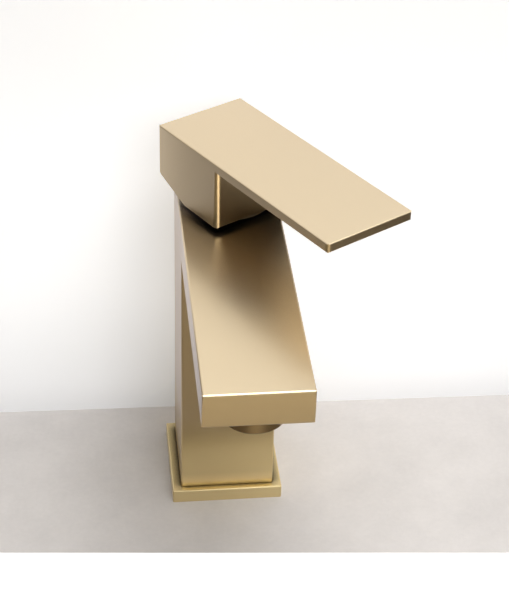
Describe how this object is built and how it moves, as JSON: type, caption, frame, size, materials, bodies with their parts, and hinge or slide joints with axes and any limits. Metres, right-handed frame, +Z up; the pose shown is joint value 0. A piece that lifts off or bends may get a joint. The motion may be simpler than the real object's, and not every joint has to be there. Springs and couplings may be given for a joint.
{
  "type": "bathroom mixer faucet",
  "caption": "Deck-mounted basin mixer with a square column, a flat slab spout and a flat lever that lifts and turns a ceramic-disc cartridge.",
  "frame": {"origin": "centre of the column on the deck, at the underside of the base plate", "axes": "+Z up out of the deck, -Y along the spout, +X to the side that the handle is turned to at rest"},
  "size_m": [0.0924, 0.1579, 0.2385],
  "materials": {
    "champagne_gold": "fine brushed, champagne gold PVD coat",
    "raw_brass": "machined",
    "stainless_steel": "machined",
    "ceramic": "lapped ceramic",
    "grey_plastic": "moulded acetal",
    "white_plastic": "moulded acetal",
    "red_plastic": "moulded",
    "black_rubber": "moulded"
  },
  "bodies": {
    "tap_body": {"body": "champagne_gold", "base_plate": "champagne_gold", "base_gasket": "black_rubber", "cartridge_base": "grey_plastic", "port_seals": "black_rubber", "fixed_disc": "ceramic", "cartridge_housing": "grey_plastic", "limit_ring": "red_plastic", "housing_o_ring": "black_rubber", "retaining_nut": "raw_brass", "cover_ring": "champagne_gold", "aerator_housing": "champagne_gold", "aerator_grid": "grey_plastic", "aerator_insert": "white_plastic", "aerator_washer": "black_rubber", "mounting_stud": "stainless_steel", "clamp_pad": "black_rubber", "clamp_plate": "stainless_steel", "clamp_nut": "raw_brass"},
    "turret": {"rotor": "white_plastic", "pivot_pin": "stainless_steel"},
    "lever": {"handle": "champagne_gold", "spindle": "raw_brass", "set_screw": "stainless_steel", "screw_plug": "champagne_gold"},
    "disc_slider": {"moving_disc": "ceramic", "disc_carrier": "white_plastic"}
  },
  "joints": [
    {"name": "temperature", "type": "hinge", "parent": "tap_body", "child": "turret", "pos_m": [0, 0, 0.136], "axis": [0, 0, 1], "range_deg": [-76, 14]},
    {"name": "lift", "type": "hinge", "parent": "turret", "child": "lever", "pos_m": [0, 0, 0.136], "axis": [-0.8572, -0.515, 0], "range_deg": [0, 20]},
    {"name": "disc_slide", "type": "slide", "parent": "turret", "child": "disc_slider", "axis": [0.515, -0.8572, 0], "range_m": [0, 0.0042]}
  ],
  "couplings": [
    {"joint": "disc_slide", "follows": "lift", "m_per_rad": 0.012}
  ]
}
